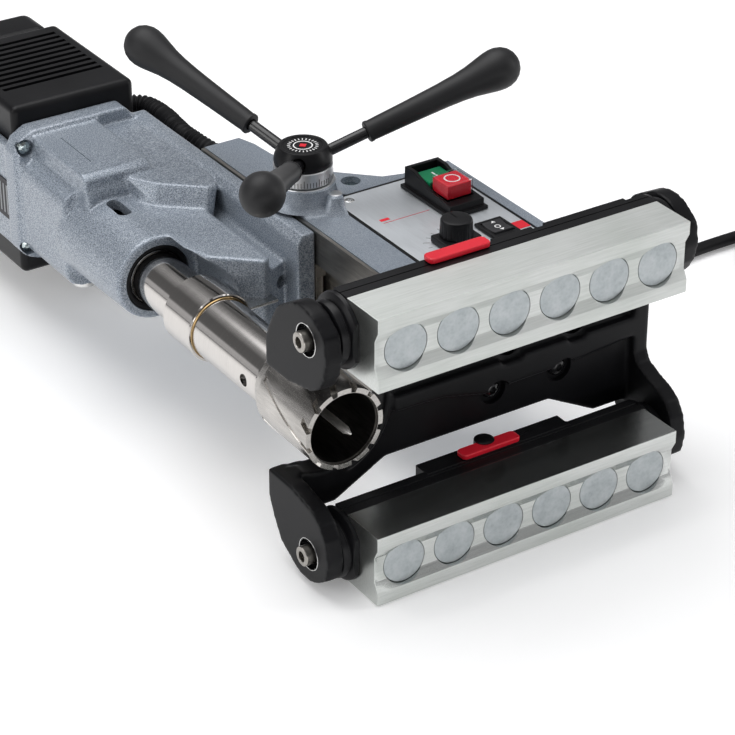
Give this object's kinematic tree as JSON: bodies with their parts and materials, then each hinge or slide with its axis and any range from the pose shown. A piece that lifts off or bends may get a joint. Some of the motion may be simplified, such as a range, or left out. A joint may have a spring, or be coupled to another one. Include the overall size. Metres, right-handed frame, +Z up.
{
  "type": "magnetic drill press",
  "caption": "Magnetic drill press for pipes: hinged magnet bars on a saddle bracket, a control housing, and a drill head fed along a slideway by a capstan wheel. Lies on its side.",
  "frame": {"origin": "on the floor below the middle of the machine, without its cord, as it lies on its side", "axes": "+X along the magnet bars, away from the drill head; -Y is the drilling direction; +Z up, out of the control panel"},
  "size_m": [0.6341, 0.6, 0.2308],
  "materials": {
    "hammertone": "grey hammertone paint over an aluminium casting",
    "black_casting": "matt charcoal powder coat",
    "black_plastic": "fine textured black moulding",
    "tool_steel": "turned and ground, lightly oiled",
    "bright_steel": "bright zinc plated or polished",
    "pole_steel": "ground, with a blue-grey zinc cast",
    "brass": "machined",
    "panel_aluminium": "satin anodised sheet",
    "dial_silver": "satin with black graduations",
    "red_plastic": "bright red moulding",
    "green_plastic": "dark green moulding",
    "rubber": "black jacket"
  },
  "bodies": {
    "frame": {"frame_housing": "hammertone", "side_cover": "hammertone", "slide_way": "tool_steel", "gib_strip": "brass", "control_panel": "panel_aluminium", "switch_box": "black_plastic", "speed_knob_base": "black_plastic", "direction_bezel": "black_plastic", "circuit_board": "black_plastic", "magnet_bracket": "black_casting", "bracket_screw_1": "bright_steel", "bracket_screw_2": "bright_steel", "bracket_screw_3": "bright_steel", "bracket_screw_4": "bright_steel", "upper_pivot_bolt_left": "bright_steel", "upper_pivot_bolt_right": "bright_steel", "lower_pivot_bolt_left": "bright_steel", "lower_pivot_bolt_right": "bright_steel", "cord_gland": "black_plastic", "power_cord": "rubber", "power_cord_coil": "rubber", "power_plug": "black_plastic"},
    "carriage": {"gear_case": "hammertone", "dovetail_slide": "tool_steel", "rack": "tool_steel", "motor_housing": "black_plastic", "motor_end_cap": "black_plastic", "motor_stator": "tool_steel", "rating_plate": "panel_aluminium", "oil_plug": "bright_steel", "spindle_seal": "rubber", "spindle_bearing": "bright_steel", "cable_conduit": "rubber"},
    "spindle": {"spindle": "bright_steel", "arbor": "tool_steel", "cutter": "tool_steel", "spindle_gear": "tool_steel"},
    "pilot": {"pilot_pin": "bright_steel"},
    "armature": {"armature": "tool_steel"},
    "capstan": {"capstan_shaft": "bright_steel", "dial_ring": "dial_silver", "capstan_hub": "black_plastic", "capstan_arm_1": "bright_steel", "capstan_arm_2": "bright_steel", "capstan_arm_3": "bright_steel", "capstan_grip_1": "black_plastic", "capstan_grip_2": "black_plastic", "capstan_grip_3": "black_plastic"},
    "start_switch": {"start_button": "green_plastic"},
    "stop_switch": {"stop_button": "red_plastic"},
    "speed_dial": {"speed_knob": "black_plastic"},
    "direction_switch": {"direction_rocker": "black_plastic"},
    "upper_array": {"upper_pole_shoe": "pole_steel", "upper_magnet_row": "pole_steel", "upper_array_housing": "black_plastic"},
    "lower_array": {"lower_pole_shoe": "pole_steel", "lower_magnet_row": "pole_steel", "lower_array_housing": "black_plastic"},
    "upper_lever": {"upper_magnet_lever": "red_plastic"},
    "lower_lever": {"lower_magnet_lever": "red_plastic"}
  },
  "joints": [
    {"name": "feed", "type": "slide", "parent": "frame", "child": "carriage", "axis": [0, -1, 0], "range_m": [-0.035, 0.11], "deforming": ["cable_conduit"]},
    {"name": "capstan_turn", "type": "hinge", "parent": "frame", "child": "capstan", "pos_m": [-0.0115, -0.0545, 0.0992], "axis": [0, 0, 1], "range_deg": [-195, 604]},
    {"name": "spindle_turn", "type": "hinge", "parent": "carriage", "child": "spindle", "pos_m": [-0.1062, 0, 0.0992], "axis": [0, -1, 0], "continuous": true},
    {"name": "armature_turn", "type": "hinge", "parent": "carriage", "child": "armature", "pos_m": [-0.0792, 0, 0.0992], "axis": [0, -1, 0], "continuous": true},
    {"name": "pilot_retract", "type": "slide", "parent": "spindle", "child": "pilot", "axis": [0, 1, 0], "range_m": [0, 0.024], "stiffness_N_per_m": 400},
    {"name": "start_press", "type": "slide", "parent": "frame", "child": "start_switch", "axis": [0, 0, -1], "range_m": [0, 0.0025], "stiffness_N_per_m": 800},
    {"name": "stop_press", "type": "slide", "parent": "frame", "child": "stop_switch", "axis": [0, 0, -1], "range_m": [0, 0.003], "stiffness_N_per_m": 800},
    {"name": "speed_turn", "type": "hinge", "parent": "frame", "child": "speed_dial", "pos_m": [0.039, -0.159, 0.1492], "axis": [0, 0, -1], "range_deg": [0, 270]},
    {"name": "direction_rock", "type": "hinge", "parent": "frame", "child": "direction_switch", "pos_m": [0.071, -0.16, 0.1447], "axis": [1, 0, 0], "range_deg": [-7, 7]},
    {"name": "upper_array_pivot", "type": "hinge", "parent": "frame", "child": "upper_array", "pos_m": [0, -0.2595, 0.174], "axis": [1, 0, 0], "range_deg": [-4, 15]},
    {"name": "lower_array_pivot", "type": "hinge", "parent": "frame", "child": "lower_array", "pos_m": [0, -0.2595, 0.0244], "axis": [-1, 0, 0], "range_deg": [-4, 15]},
    {"name": "upper_lever_turn", "type": "hinge", "parent": "upper_array", "child": "upper_lever", "pos_m": [-0.029, -0.2565, 0.1987], "axis": [0, 0, 1], "range_deg": [0, 180]},
    {"name": "lower_lever_turn", "type": "hinge", "parent": "lower_array", "child": "lower_lever", "pos_m": [0.0015, -0.2515, 0.0491], "axis": [0, 0, 1], "range_deg": [0, 180]}
  ],
  "couplings": [
    {"joint": "capstan_turn", "follows": "feed", "rad_per_m": 95.238},
    {"joint": "armature_turn", "follows": "spindle_turn", "ratio": -3.5}
  ]
}
